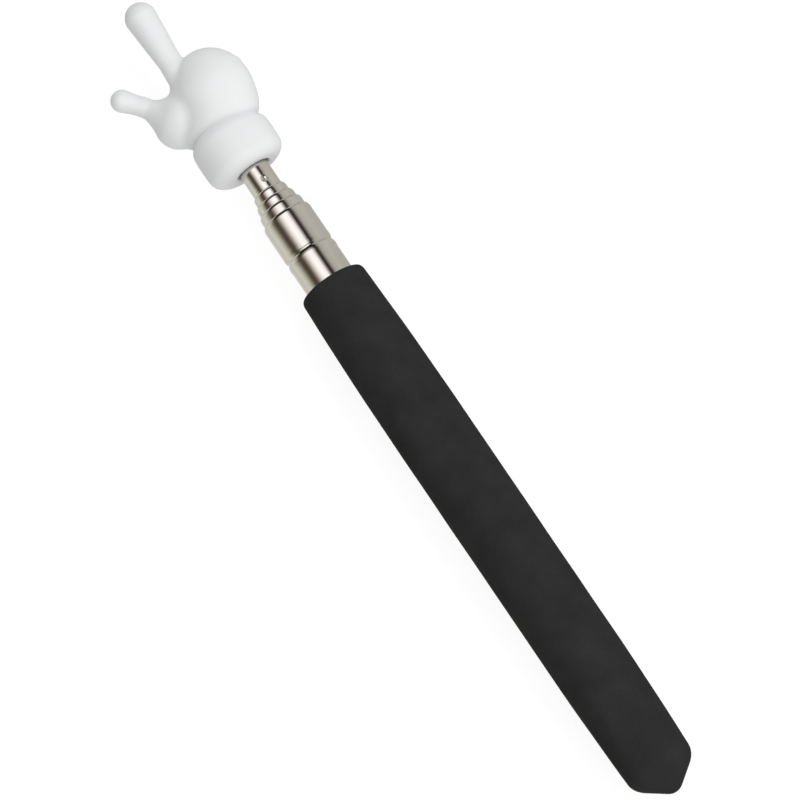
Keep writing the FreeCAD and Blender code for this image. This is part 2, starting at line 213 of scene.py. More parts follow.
@dataclass(frozen=True)
class Egg:
    """An ellipsoid, turned about the up axis by an angle in degrees."""

    centre: Place
    half_sizes: Place
    turn: float = 0.0

    def distance(self, points: np.ndarray) -> np.ndarray:
        """Estimate the signed distance to the skin.

        Args:
            points: Places in the CAD frame, in millimetres.

        Returns:
            The distance of each point, negative inside.
        """
        from_middle = points - np.array(self.centre)
        angle = math.radians(self.turn)
        cos, sin = math.cos(angle), math.sin(angle)
        turned = np.stack(
            [
                from_middle[..., 0] * cos + from_middle[..., 1] * sin,
                -from_middle[..., 0] * sin + from_middle[..., 1] * cos,
                from_middle[..., 2],
            ],
            axis=-1,
        )
        halves = np.array(self.half_sizes)
        scaled = np.linalg.norm(turned / halves, axis=-1)
        slope = np.linalg.norm(turned / halves**2, axis=-1) + 1e-9
        return scaled * (scaled - 1.0) / slope


@dataclass(frozen=True)
class OvalBand:
    """A short oval cylinder along X with a slight belly and rounded rims."""

    middle: Place
    half_length: float
    half_width: float
    half_depth: float
    rim: float
    belly: float
    slant: tuple[float, float] = (0.0, 0.0)

    def distance(self, points: np.ndarray) -> np.ndarray:
        """Estimate the signed distance to the skin.

        Args:
            points: Places in the CAD frame, in millimetres.

        Returns:
            The distance of each point, negative inside.
        """
        along = (points[..., 0] - self.middle[0]) / self.half_length
        lean = self.slant[0] * points[..., 1] + self.slant[1] * points[..., 2]
        along = along - lean * np.clip(along, 0.0, 1.0) / self.half_length
        mean = (self.half_width + self.half_depth) / 2
        across = (points[..., 1] - self.middle[1]) / self.half_width
        above = (points[..., 2] - self.middle[2]) / self.half_depth
        past_rim = 1.2
        swell = mean - self.belly * np.clip(along, -past_rim, past_rim) ** 2
        radial = np.hypot(across, above) * mean - swell + self.rim
        axial = (np.abs(along) - 1.0) * self.half_length + self.rim
        outside = np.hypot(np.maximum(radial, 0), np.maximum(axial, 0))
        return outside + np.minimum(np.maximum(radial, axial), 0) - self.rim


def join_smooth(one: np.ndarray, other: np.ndarray, blend: float) -> np.ndarray:
    """Join two distance fields.

    Args:
        one: Distances to the first solid.
        other: Distances to the second solid.
        blend: About how wide the soft fillet between them is.

    Returns:
        Distances to the joined solid.
    """
    overlap = np.maximum(blend - np.abs(one - other), 0.0) / blend
    return np.minimum(one, other) - overlap**2 * blend / 4


def cut_smooth(solid: np.ndarray, tool: np.ndarray, blend: float) -> np.ndarray:
    """Cut one distance field with another.

    Args:
        solid: Distances to the solid.
        tool: Distances to what is cut away.
        blend: About how wide the softened edge is.

    Returns:
        Distances to what is left.
    """
    return -join_smooth(-solid, tool, blend)


def skin_of(shape: Field, low: np.ndarray, high: np.ndarray, step: float) -> tuple[np.ndarray, list]:
    """Mesh the skin of a distance field with one vertex in each cell that the skin crosses.

    Args:
        shape: Function from points to signed distances.
        low: Lowest corner of the space that holds the shape.
        high: Highest corner of that space.
        step: Size of a cell.

    Returns:
        Points on the skin and the four-sided faces between them.
    """
    axes = [np.arange(low[i], high[i] + step, step) for i in range(3)]
    grid = np.stack(np.meshgrid(*axes, indexing="ij"), axis=-1)
    value = shape(grid)
    cells = tuple(size - 1 for size in value.shape)
    total = np.zeros(cells + (3,))
    count = np.zeros(cells)
    crossings = []
    for axis in range(3):
        others = [other for other in range(3) if other != axis]
        near = [slice(None)] * 3
        far = [slice(None)] * 3
        near[axis] = slice(0, -1)
        far[axis] = slice(1, None)
        first = value[tuple(near)]
        second = value[tuple(far)]
        found = np.argwhere((first < 0) != (second < 0))
        inside = (found[:, others] > 0).all(axis=1)
        inside &= (found[:, others] < np.array(cells)[others]).all(axis=1)
        found = found[inside]
        start = first[tuple(found.T)]
        place = found.astype(float)
        place[:, axis] += start / (start - second[tuple(found.T)])
        around = []
        for back in ((0, 0), (1, 0), (1, 1), (0, 1)):
            cell = found.copy()
            cell[:, others[0]] -= back[0]
            cell[:, others[1]] -= back[1]
            np.add.at(total, tuple(cell.T), place)
            np.add.at(count, tuple(cell.T), 1)
            around.append(cell)
        crossings.append((axis, start < 0, around))
    used = count > 0
    number = np.full(cells, -1)
    number[used] = np.arange(used.sum())
    points = total[used] / count[used][:, None] * step + low
    faces = []
    for axis, outward, around in crossings:
        corners = np.stack([number[tuple(cell.T)] for cell in around], axis=1)
        flip = outward if axis != 1 else ~outward
        corners[~flip] = corners[~flip][:, ::-1]
        faces += corners.tolist()
    return settle(shape, points), faces


def settle(shape: Field, points: np.ndarray, rounds: int = 3, probe: float = 0.04) -> np.ndarray:
    """Move points onto the skin of a distance field along its slope.

    Args:
        shape: Function from points to signed distances.
        points: Places near the skin.
        rounds: How often each point moves.
        probe: How far to each side the slope is measured.

    Returns:
        The moved points.
    """
    longest = 0.3
    least_slope = 0.25
    for _ in range(rounds):
        here = shape(points)
        slope = np.empty_like(points)
        for axis in range(3):
            shift = np.zeros(3)
            shift[axis] = probe
            slope[:, axis] = (shape(points + shift) - shape(points - shift)) / (2 * probe)
        steep = np.maximum((slope**2).sum(axis=1), least_slope)
        points = points - slope * (np.clip(here, -longest, longest) / steep)[:, None]
    return points


# Shader groups and finishes


class Effect(Enum):
    """The shared surface effects, each a node group built once."""

    GRAIN = "fine_grain"
    MOTTLE = "soft_mottle"
    POLISH = "polish_lines"


def add_node(tree: bpy.types.NodeTree, kind: str, **settings) -> bpy.types.Node:
    """Add a node and set its properties.

    Args:
        tree: The node tree to add to.
        kind: The node's type name.
        **settings: Property names and values.

    Returns:
        The new node.
    """
    node = tree.nodes.new(kind)
    for key, value in settings.items():
        setattr(node, key, value)
    return node


def new_group(effect: Effect, inputs: dict[str, float], outputs: tuple[str, ...]) -> bpy.types.NodeTree:
    """Make an empty shader group with named number sockets, and its two end nodes.

    Args:
        effect: Which effect the group makes.
        inputs: Name and usual value of each number that goes in.
        outputs: Name of each number that comes out.

    Returns:
        The group's node tree, with nodes named in and out.
    """
    tree = bpy.data.node_groups.new(effect.value, "ShaderNodeTree")
    tree.interface.new_socket("Place", in_out="INPUT", socket_type="NodeSocketVector")
    for name, usual in inputs.items():
        socket = tree.interface.new_socket(name, in_out="INPUT", socket_type="NodeSocketFloat")
        socket.default_value = usual
    for name in outputs:
        tree.interface.new_socket(name, in_out="OUTPUT", socket_type="NodeSocketFloat")
    add_node(tree, "NodeGroupInput", name="in")
    add_node(tree, "NodeGroupOutput", name="out")
    return tree


def build_grain() -> bpy.types.NodeTree:
    """Build the fine grain: small soft cells with finer noise on them, as a height.

    Returns:
        The group's node tree.
    """
    tree = new_group(Effect.GRAIN, {"Scale": 3000.0, "Cells": 0.5}, ("Height",))
    source, target = tree.nodes["in"], tree.nodes["out"]
    cells = add_node(tree, "ShaderNodeTexVoronoi", feature="SMOOTH_F1")
    cells.inputs["Smoothness"].default_value = 0.6
    noise = add_node(tree, "ShaderNodeTexNoise")
    noise.inputs["Detail"].default_value = 5.0
    noise.inputs["Roughness"].default_value = 0.62
    mix = add_node(tree, "ShaderNodeMix", data_type="FLOAT")
    link = tree.links.new
    for texture in (cells, noise):
        link(source.outputs["Place"], texture.inputs["Vector"])
        link(source.outputs["Scale"], texture.inputs["Scale"])
    link(source.outputs["Cells"], mix.inputs["Factor"])
    link(noise.outputs["Fac"], mix.inputs["A"])
    link(cells.outputs["Distance"], mix.inputs["B"])
    link(mix.outputs["Result"], target.inputs["Height"])
    return tree


def build_mottle() -> bpy.types.NodeTree:
    """Build the mottle: broad soft patches from 0 to 1, for slow changes of colour and gloss.

    Returns:
        The group's node tree.
    """
    tree = new_group(Effect.MOTTLE, {"Scale": 90.0, "Contrast": 0.5}, ("Patch",))
    source, target = tree.nodes["in"], tree.nodes["out"]
    noise = add_node(tree, "ShaderNodeTexNoise")
    noise.inputs["Detail"].default_value = 3.0
    spread = add_node(tree, "ShaderNodeMath", operation="SUBTRACT")
    spread.inputs[1].default_value = 0.5
    gain = add_node(tree, "ShaderNodeMath", operation="MULTIPLY_ADD", use_clamp=True)
    gain.inputs[2].default_value = 0.5
    link = tree.links.new
    link(source.outputs["Place"], noise.inputs["Vector"])
    link(source.outputs["Scale"], noise.inputs["Scale"])
    link(noise.outputs["Fac"], spread.inputs[0])
    link(spread.outputs["Value"], gain.inputs[0])
    link(source.outputs["Contrast"], gain.inputs[1])
    link(gain.outputs["Value"], target.inputs["Patch"])
    return tree


def build_polish() -> bpy.types.NodeTree:
    """Build the polish lines: thin marks that run round a turned or drawn piece, as a height.

    Returns:
        The group's node tree.
    """
    tree = new_group(Effect.POLISH, {"Scale": 900.0, "Stretch": 0.04}, ("Lines",))
    source, target = tree.nodes["in"], tree.nodes["out"]
    squeeze = add_node(tree, "ShaderNodeCombineXYZ")
    squeeze.inputs["X"].default_value = 1.0
    scale = add_node(tree, "ShaderNodeVectorMath", operation="MULTIPLY")
    noise = add_node(tree, "ShaderNodeTexNoise")
    noise.inputs["Detail"].default_value = 4.0
    noise.inputs["Roughness"].default_value = 0.7
    link = tree.links.new
    link(source.outputs["Stretch"], squeeze.inputs["Y"])
    link(source.outputs["Stretch"], squeeze.inputs["Z"])
    link(source.outputs["Place"], scale.inputs[0])
    link(squeeze.outputs["Vector"], scale.inputs[1])
    link(scale.outputs["Vector"], noise.inputs["Vector"])
    link(source.outputs["Scale"], noise.inputs["Scale"])
    link(noise.outputs["Fac"], target.inputs["Lines"])
    return tree


BUILDERS = {Effect.GRAIN: build_grain, Effect.MOTTLE: build_mottle, Effect.POLISH: build_polish}


class Painter:
    """Lays out one material: its Principled shader, the place of each point, and shared effects."""

    def __init__(self, name: str) -> None:
        """Make the material and its shader.

        Args:
            name: The material's name.
        """
        self.material = bpy.data.materials.new(name)
        self.material.use_nodes = True
        self.tree = self.material.node_tree
        self.shader = self.tree.nodes["Principled BSDF"]
        self.place = add_node(self.tree, "ShaderNodeTexCoord")

    def effect(self, effect: Effect, **values: float) -> bpy.types.Node:
        """Place a shared effect in this material.

        Args:
            effect: The effect's group.
            **values: This material's values for the group's inputs.

        Returns:
            The group node.
        """
        group = bpy.data.node_groups.get(effect.value) or BUILDERS[effect]()
        node = add_node(self.tree, "ShaderNodeGroup", node_tree=group)
        self.tree.links.new(self.place.outputs["Object"], node.inputs["Place"])
        for name, value in values.items():
            node.inputs[name].default_value = value
        return node

    def tint(self, mask: bpy.types.NodeSocket, low: Colour, high: Colour) -> None:
        """Colour the surface by a mask.

        Args:
            mask: The output that gives the mask.
            low: Colour where the mask is 0.
            high: Colour where the mask is 1.
        """
        mix = add_node(self.tree, "ShaderNodeMix", data_type="RGBA")
        mix.inputs["A"].default_value = (*low, 1.0)
        mix.inputs["B"].default_value = (*high, 1.0)
        self.tree.links.new(mask, mix.inputs["Factor"])
        self.tree.links.new(mix.outputs["Result"], self.shader.inputs["Base Color"])

    def vary(self, socket: str, mask: bpy.types.NodeSocket, low: float, high: float) -> None:
        """Change one of the shader's numbers by a mask.

        Args:
            socket: The shader's input.
            mask: The output that gives the mask.
            low: Value where the mask is 0.
            high: Value where the mask is 1.
        """
        spread = add_node(self.tree, "ShaderNodeMapRange")
        spread.inputs["To Min"].default_value = low
        spread.inputs["To Max"].default_value = high
        self.tree.links.new(mask, spread.inputs["Value"])
        self.tree.links.new(spread.outputs["Result"], self.shader.inputs[socket])

    def bump(self, height: bpy.types.NodeSocket, strength: float, depth: float) -> None:
        """Put a relief in the shader's normal.

        Args:
            height: The output that gives the height.
            strength: How strongly the relief shows.
            depth: How deep the relief is, in metres.
        """
        node = add_node(self.tree, "ShaderNodeBump")
        node.inputs["Strength"].default_value = strength
        node.inputs["Distance"].default_value = depth
        self.tree.links.new(height, node.inputs["Height"])
        self.tree.links.new(node.outputs["Normal"], self.shader.inputs["Normal"])


@dataclass(frozen=True)
class MetalFinish:
    """Plated or turned metal with faint polish lines round it."""

    name: str
    dark: Colour
    light: Colour
    smooth: float
    rough: float
    line_strength: float = 0.05

    def material(self) -> bpy.types.Material:
        """Make the metal's material."""
        painter = Painter(self.name)
        painter.shader.inputs["Metallic"].default_value = 1.0
        patch = painter.effect(Effect.MOTTLE, Scale=140.0, Contrast=1.6)
        lines = painter.effect(Effect.POLISH, Scale=2600.0, Stretch=0.03)
        painter.tint(patch.outputs["Patch"], self.dark, self.light)
        painter.vary("Roughness", lines.outputs["Lines"], self.smooth, self.rough)
        painter.bump(lines.outputs["Lines"], self.line_strength, 2e-6)
        return painter.material


@dataclass(frozen=True)
class FoamFinish:
    """Soft closed-cell foam: near black, matt, with fine cells and a slight bloom."""

    name: str
    dark: Colour
    light: Colour

    def material(self) -> bpy.types.Material:
        """Make the foam's material."""
        painter = Painter(self.name)
        painter.shader.inputs["Specular IOR Level"].default_value = 0.02
        patch = painter.effect(Effect.MOTTLE, Scale=160.0, Contrast=1.3)
        grain = painter.effect(Effect.GRAIN, Scale=2600.0, Cells=0.6)
        painter.tint(patch.outputs["Patch"], self.dark, self.light)
        painter.vary("Roughness", grain.outputs["Height"], 0.62, 0.9)
        painter.bump(grain.outputs["Height"], 0.7, 1.6e-4)
        return painter.material


@dataclass(frozen=True)
class MouldedFinish:
    """Satin moulded plastic with a hint of light coming through it."""

    name: str
    dark: Colour
    light: Colour
    smooth: float
    rough: float
    glow: float = 0.0

    def material(self) -> bpy.types.Material:
        """Make the plastic's material."""
        painter = Painter(self.name)
        painter.shader.inputs["Subsurface Weight"].default_value = self.glow
        painter.shader.inputs["Subsurface Radius"].default_value = (1.0, 0.95, 0.9)
        painter.shader.inputs["Subsurface Scale"].default_value = 0.0015
        patch = painter.effect(Effect.MOTTLE, Scale=70.0, Contrast=1.2)
        grain = painter.effect(Effect.GRAIN, Scale=1800.0, Cells=0.2)
        painter.tint(patch.outputs["Patch"], self.dark, self.light)
        painter.vary("Roughness", patch.outputs["Patch"], self.smooth, self.rough)
        painter.bump(grain.outputs["Height"], 0.12, 3e-5)
        return painter.material


CHROME = MetalFinish("chrome_plate", (0.66, 0.64, 0.61), (0.72, 0.70, 0.67), 0.06, 0.14)
BRASS = MetalFinish("turned_brass", (0.60, 0.45, 0.20), (0.72, 0.56, 0.28), 0.22, 0.38, 0.2)
BRONZE = MetalFinish("spring_bronze", (0.50, 0.32, 0.18), (0.62, 0.42, 0.26), 0.28, 0.42, 0.15)
STEEL = MetalFinish("turned_steel", (0.50, 0.50, 0.50), (0.60, 0.60, 0.60), 0.2, 0.35, 0.2)
FOAM = FoamFinish("black_foam", (0.021, 0.022, 0.021), (0.034, 0.035, 0.034))
WHITE = MouldedFinish("white_moulded_plastic", (0.80, 0.81, 0.82), (0.86, 0.87, 0.88), 0.42, 0.55, 0.2)
BLACK = MouldedFinish("black_moulded_plastic", (0.018, 0.018, 0.019), (0.026, 0.026, 0.027), 0.4, 0.55)


# The pointer's sub-assemblies


def show_as(piece: bpy.types.Object, node: str, body: str, material: bpy.types.Material) -> None:
    """Let a piece stand for a CAD node, ride on its body and wear a finish.

    Args:
        piece: The detailed piece.
        node: The CAD node it stands for.
        body: The body it moves with.
        material: The finish.
    """
    piece.data.materials.append(material)
    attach(piece, body)
    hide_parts(node)
    LOG.info("%s stands for %s on %s, %d faces", piece.name, node, body, len(piece.data.polygons))


@dataclass
class Tube:
    """One chrome tube, with its mouth turned in around the next."""

    number: int
    wall: float = 0.3
    gap: float = 0.05
    lip_edge: float = 0.1
    lip_land: float = 0.9
    lip_slope: float = 0.5
    mouth_steps: int = 12
    nose_room: float = 0.3
    skin_steps: int = 24

    @property
    def node(self) -> str:
        """Return the CAD node's name."""
        return f"section_{self.number}" if self.number else "outer_tube"

    def span(self) -> tuple[float, float]:
        """Measure the CAD node.

        Returns:
            The tube's rear and front ends, in millimetres.
        """
        low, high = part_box(self.node)
        return low.x / MM, high.x / MM

    def radius(self) -> float:
        """Measure the CAD node.

        Returns:
            The tube's outer radius, in millimetres.
        """
        low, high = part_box(self.node)
        return round((high.z - low.z) / 2 / MM, 2)

    def mouth(self, nose: float, next_radius: float) -> Outline:
        """Draw the turned-in mouth, from the skin round to the bore.

        Args:
            nose: Length over which the skin turns in.
            next_radius: Outer radius of the tube inside this one.

        Returns:
            The mouth's part of the outline.
        """
        front = self.span()[1]
        outer = self.radius()
        guide = next_radius + self.gap
        drop = outer - guide - self.lip_edge
        curve = []
        for share in np.linspace(0.0, 1.0, self.mouth_steps):
            bend = share * math.pi / 2
            curve.append((front - nose * (1 - math.sin(bend)), outer - drop * (1 - math.cos(bend))))
        land = front - self.lip_land
        return curve + [(front, guide), (land, guide), (land - self.lip_slope, outer - self.wall)]

    def build(self, next_radius: float, nose: float) -> bpy.types.Object:
        """Build the tube's mesh.

        Args:
            next_radius: Outer radius of the tube inside this one.
            nose: Length over which the mouth turns in.

        Returns:
            The tube.
        """
        rear, front = self.span()
        outer = self.radius()
        inner = outer - self.wall
        skin = [(x, outer) for x in np.linspace(rear, front - nose - self.nose_room, self.skin_steps)]
        return lathe(f"{self.node}_tube", [(rear, inner)] + skin + self.mouth(nose, next_radius))


@dataclass
class OuterTube(Tube):
    """The fixed tube, with a rolled groove and a bead behind it near its mouth."""

    number: int = 0
    groove_place: float = 77.9
    groove_depth: float = 0.26
    roll_width: float = 0.42
    bead_height: float = 0.1
    bead_width: float = 0.45
    bead_behind: float = 1.35
    bead_ahead: float = 1.25
    ahead_share: float = 0.5
    stop_height: float = 0.25
    fine_reach: float = 3.0
    fine_steps: int = 61
    fine_room: float = 0.5
    front_steps: int = 10

    def radius(self) -> float:
        """Measure the CAD node without its bead.

        Returns:
            The tube's outer radius, in millimetres.
        """
        low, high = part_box(self.node)
        return round((high.z - low.z) / 2 / MM - self.bead_height, 2)

    def roll(self, x: float) -> float:
        """Work out the rolled relief.

        Args:
            x: A place along the tube, in millimetres.

        Returns:
            How far the skin stands out there, in millimetres.
        """
        past = x - self.groove_place
        groove = -self.groove_depth * math.exp(-((past / self.roll_width) ** 2))
        behind = math.exp(-(((past + self.bead_behind) / self.bead_width) ** 2))
        ahead = self.ahead_share * math.exp(-(((past - self.bead_ahead) / self.bead_width) ** 2))
        return groove + self.bead_height * (behind + ahead)

    def build(self, next_radius: float, nose: float) -> bpy.types.Object:
        """Build the tube's mesh, with the groove rolled in from the skin to the bore.

        Args:
            next_radius: Outer radius of the tube inside this one.
            nose: Length over which the mouth turns in.

        Returns:
            The tube.
        """
        rear, front = self.span()
        outer = self.radius()
        inner = outer - self.wall
        first, last = self.groove_place - self.fine_reach, self.groove_place + self.fine_reach
        rolled = np.linspace(first, last, self.fine_steps)
        stations = list(np.linspace(rear, first - self.fine_room, self.skin_steps)) + list(rolled)
        stations += list(np.linspace(last + self.fine_room, front - nose - self.nose_room, self.front_steps))
        skin = [(x, outer + self.roll(x)) for x in stations]
        ridge_share = self.stop_height / self.groove_depth
        bore = [(x, inner + min(self.roll(x), 0.0) * ridge_share) for x in rolled[::-1]]
        outline = [(rear, inner)] + skin + self.mouth(nose, next_radius) + bore
        return lathe(f"{self.node}_tube", outline)


@dataclass
class TipTube(Tube):
    """The last tube: plain ends, and the dimple that crimps it on the stem."""

    number: int = 4
    dimple_place: float = 96.9
    dimple_angle: float = 15.0
    dimple_ball: float = 1.0
    dimple_depth: float = 0.4
    dimple_lip: float = 0.03
    lip_out: float = 0.12
    lip_width: float = 0.16
    fine_reach: float = 1.4
    fine_steps: int = 45
    fine_room: float = 0.5
    rear_steps: int = 20
    front_steps: int = 5
    fine_turns: int = 288

    def radius(self) -> float:
        """Measure the CAD node across, where the dimple doesn't show.

        Returns:
            The tube's outer radius, in millimetres.
        """
        low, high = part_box(self.node)
        return round((high.y - low.y) / 2 / MM, 2)

    def dent(self, ring: np.ndarray, angles: np.ndarray) -> np.ndarray:
        """Press the dimple into one ring of points.

        Args:
            ring: The ring's points.
            angles: Each point's angle round the tube.

        Returns:
            The moved points.
        """
        radius = np.hypot(ring[:, 1], ring[:, 2])
        turn = (angles - math.radians(self.dimple_angle) + math.pi) % (2 * math.pi) - math.pi
        away = np.hypot(ring[:, 0] - self.dimple_place, turn * radius)
        ball = np.sqrt(np.maximum(self.dimple_ball**2 - away**2, 0.0))
        pressed = np.maximum(ball - (self.dimple_ball - self.dimple_depth), 0.0)
        reach = math.sqrt(self.dimple_ball**2 - (self.dimple_ball - self.dimple_depth) ** 2)
        lip = self.dimple_lip * np.exp(-(((away - reach - self.lip_out) / self.lip_width) ** 2))
        shrink = 1 - (pressed - lip) / radius
        ring[:, 1] *= shrink
        ring[:, 2] *= shrink
        return ring

    def build(self, next_radius: float = 0.0, nose: float = 0.2) -> bpy.types.Object:
        """Build the tube's mesh, with close stations around the dimple.

        Args:
            next_radius: Not used: there is no tube inside this one.
            nose: How far the front edge is rounded.

        Returns:
            The tube.
        """
        rear, front = self.span()
        outer = self.radius()
        inner = outer - self.wall
        first, last = self.dimple_place - self.fine_reach, self.dimple_place + self.fine_reach
        near = np.linspace(first, last, self.fine_steps)
        stations = list(np.linspace(rear, first - self.fine_room, self.rear_steps)) + list(near)
        stations += list(np.linspace(last + self.fine_room, front - nose, self.front_steps))
        skin = [(x, outer) for x in stations]
        edge = [(front, outer - nose / 2), (front, inner)]
        bore = [(x, inner) for x in near[::-1]]
        outline = [(rear, inner)] + skin + edge + bore
        return lathe(f"{self.node}_tube", outline, turns=self.fine_turns, dent=self.dent)


@dataclass
class TubeSet:
    """The nest of chrome tubes."""

    nose: float = 1.3
    section_nose: float = 1.0
    tubes: list[Tube] = field(default_factory=lambda: [OuterTube(), Tube(1), Tube(2), Tube(3), TipTube()])

    def build(self) -> None:
        """Build every tube and dress it in chrome."""
        chrome = CHROME.material()
        for tube, inside in zip(self.tubes, self.tubes[1:] + [None]):
            nose = self.section_nose if tube.number else self.nose
            piece = tube.build(inside.radius(), nose) if inside else tube.build()
            body = f"section_{tube.number}" if tube.number else "handle"
            show_as(piece, tube.node, body, chrome)


@dataclass
class Grip:
    """The closed foam sleeve."""

    node: str = "grip_sleeve"
    waist: float = 30.0
    swell: float = 0.12
    front_radius: float = 7.85
    front_round: float = 2.3
    front_room: float = 2.6
    rear_radius: float = 8.0
    rear_round: float = 2.4
    rear_room: float = 2.8
    cone_start: float = -64.6
    tip_radius: float = 1.2
    tip_round: float = 1.2
    bore: float = 5.9
    bore_end: float = -62.0
    station_gap: float = 1.2
    corner_steps: int = 8
    turns: int = 128
    waves: Place = (0.21, 0.083, 0.37)
    wave_start: float = 1.3
    wave_peak: float = 1.5
    still_depth: float = 0.2
    fade: float = 1.5
    ripple: float = 0.03

    def skin(self, front: float, widest: float) -> Outline:
        """Draw the sleeve's long side, a soft barrel between its front corner and the cone.

        Args:
            front: The sleeve's front end.
            widest: Radius of the middle stretch.

        Returns:
            The long side's part of the outline.
        """
        stations = np.arange(front - self.front_room, self.cone_start + self.rear_room, -self.station_gap)
        side = []
        for x in stations:
            past = max(abs(x) - self.waist, 0.0)
            reach = (front if x > 0 else -self.cone_start) - self.waist
            end = self.front_radius if x > 0 else self.rear_radius
            side.append((x, widest - (widest - end) * (past / reach) ** 2))
        return side

    def press(self, ring: np.ndarray, angles: np.ndarray) -> np.ndarray:
        """Give the foam the slight unevenness of a soft sleeve.

        Args:
            ring: One ring of points.
            angles: Each point's angle round the sleeve.

        Returns:
            The moved points.
        """
        x = ring[:, 0]
        radius = np.hypot(ring[:, 1], ring[:, 2])
        twist, sway, flutter = self.waves
        wave = np.sin(x * twist + 2 * angles) * np.sin(x * sway + self.wave_start)
        wave = wave + 0.5 * np.sin(3 * angles + x * flutter)
        outer = np.clip((radius - self.bore - self.still_depth) / self.fade, 0.0, 1.0)
        shrink = 1 - self.ripple * outer * wave / self.wave_peak / np.maximum(radius, 0.5)
        ring[:, 1] *= shrink
        ring[:, 2] *= shrink
        return ring

    def build(self) -> bpy.types.Object:
        """Build the sleeve's mesh.

        Returns:
            The sleeve.
        """
        low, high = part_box(self.node)
        front = high.x / MM
        tail = low.x / MM
        widest = high.z / MM + self.swell
        outline = rounded(
            [
                (front, self.bore),
                (front, self.front_radius, self.front_round),
                *self.skin(front, widest),
                (self.cone_start, self.rear_radius, self.rear_round),
                (tail, self.tip_radius, self.tip_round),
                (tail, 0.0),
                (self.bore_end, 0.0),
                (self.bore_end, self.bore),
            ],
            steps=self.corner_steps,
        )
        return lathe("foam_grip", outline, turns=self.turns, dent=self.press)

    def dress(self) -> None:
        piece = self.build()
        show_as(piece, self.node, "handle", FOAM.material())


